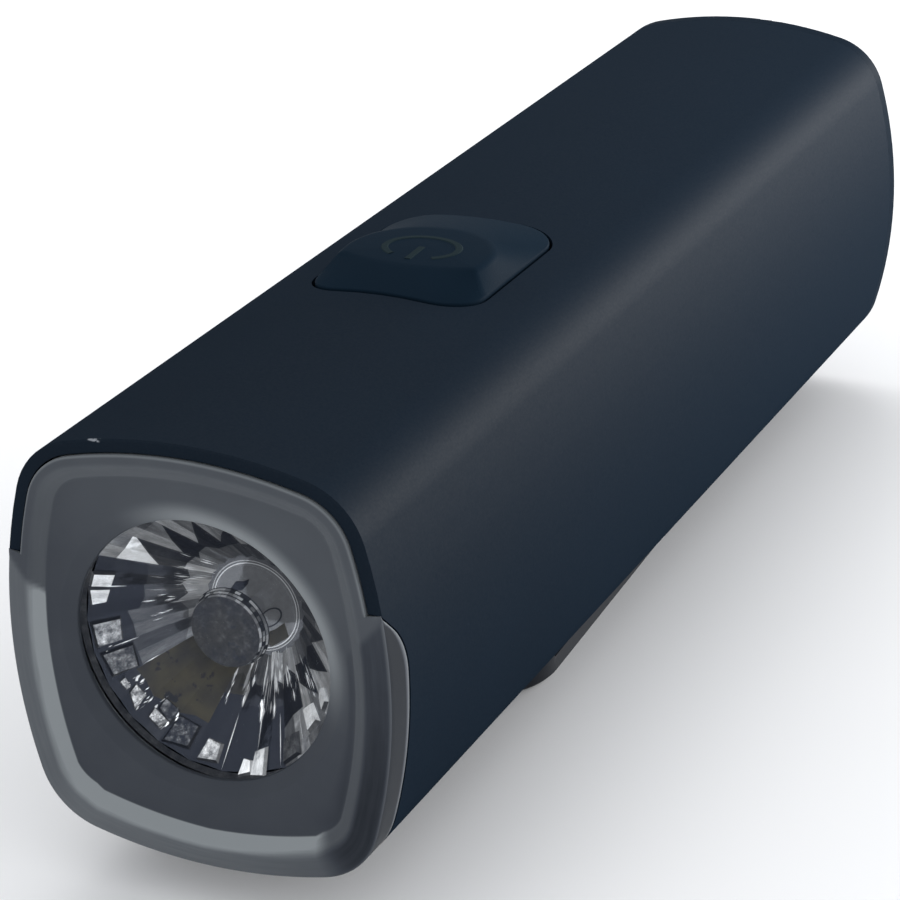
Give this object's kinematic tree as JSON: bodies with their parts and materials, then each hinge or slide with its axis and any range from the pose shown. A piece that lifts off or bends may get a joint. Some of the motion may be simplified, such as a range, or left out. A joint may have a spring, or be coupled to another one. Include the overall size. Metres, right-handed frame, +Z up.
{
  "type": "bicycle headlight",
  "caption": "Rechargeable bicycle headlight: rounded square tube, smoky wrap-round lens over a faceted collimator, top push button, slide-in rail and covered charging socket.",
  "frame": {"origin": "middle of the mounting rail's flat underside", "axes": "+X to the right seen from in front of the lens, +Y from the lens to the rear cap, +Z up through the button"},
  "size_m": [0.0302, 0.1134, 0.0376],
  "materials": {
    "black_anodised": "fine bead-blasted, black anodised, satin",
    "smoky_lens": "smoky polycarbonate, finely frosted face, polished lip",
    "clear_window": "polished clear polycarbonate",
    "clear_optic": "polished clear acrylic",
    "holder_plastic": "moulded black plastic",
    "emitter": "yellow phosphor under a clear dome",
    "white_board": "white solder mask on aluminium",
    "thermal_grey": "soft thermal pad",
    "bare_aluminium": "machined",
    "steel": "plated steel",
    "black_steel": "black zinc plated",
    "cell_wrap": "shrink wrap",
    "insulator_paper": "fibre paper",
    "nickel": "nickel strip",
    "black_foam": "closed-cell foam",
    "black_silicone": "moulded silicone",
    "chassis_plastic": "moulded nylon",
    "green_board": "green solder mask",
    "ferrite": "ferrite",
    "chip_black": "moulded epoxy",
    "ceramic_tan": "ceramic",
    "plug_white": "moulded nylon",
    "lead_red": "silicone insulation",
    "lead_black": "silicone insulation",
    "switch_black": "moulded plastic",
    "plunger_grey": "moulded plastic",
    "button_silicone": "satin moulded silicone",
    "cover_silicone": "matte moulded silicone",
    "cap_plastic": "fine spark-eroded texture",
    "rail_plastic": "glass-filled nylon"
  },
  "bodies": {
    "housing": {"body_tube": "black_anodised", "front_lens": "smoky_lens", "lens_window": "clear_window", "lens_gasket": "black_silicone", "collimator": "clear_optic", "optic_holder": "holder_plastic", "led_emitter": "emitter", "led_board": "white_board", "thermal_pad": "thermal_grey", "heat_sink": "bare_aluminium", "led_board_screws": "steel", "chassis_screws": "steel", "battery_cell": "cell_wrap", "cell_insulator": "insulator_paper", "positive_tab": "nickel", "negative_tab": "nickel", "cell_foam": "black_foam", "battery_cradle": "chassis_plastic", "main_board": "green_board", "driver_inductor": "ferrite", "control_chip": "chip_black", "charge_chip": "chip_black", "board_capacitors": "ceramic_tan", "lead_plug": "plug_white", "positive_lead": "lead_red", "negative_lead": "lead_black", "switch_body": "switch_black", "button_bridge": "chassis_plastic", "usb_shell": "steel", "usb_tongue": "chip_black", "cover_anchor": "cover_silicone", "rear_cap": "cap_plastic", "rear_seal": "black_silicone", "rear_screws": "black_steel", "mount_rail": "rail_plastic", "rail_pad": "black_silicone", "rail_screws": "black_steel", "nut_plate": "steel"},
    "button": {"power_button": "button_silicone"},
    "plunger": {"switch_plunger": "plunger_grey"},
    "cover": {"usb_cover": "cover_silicone"}
  },
  "joints": [
    {"name": "button_press", "type": "slide", "parent": "housing", "child": "button", "axis": [0, 0, -1], "range_m": [0, 0.0004], "stiffness_N_per_m": 2300, "springref_m": -0.0003},
    {"name": "plunger_travel", "type": "slide", "parent": "housing", "child": "plunger", "axis": [0, 0, -1], "range_m": [0, 0.0004]},
    {"name": "cover_hinge", "type": "hinge", "parent": "housing", "child": "cover", "pos_m": [0, 0.0596, 0.0271], "axis": [-1, 0, 0], "range_deg": [0, 140]}
  ],
  "couplings": [
    {"joint": "plunger_travel", "follows": "button_press", "ratio": 1}
  ]
}
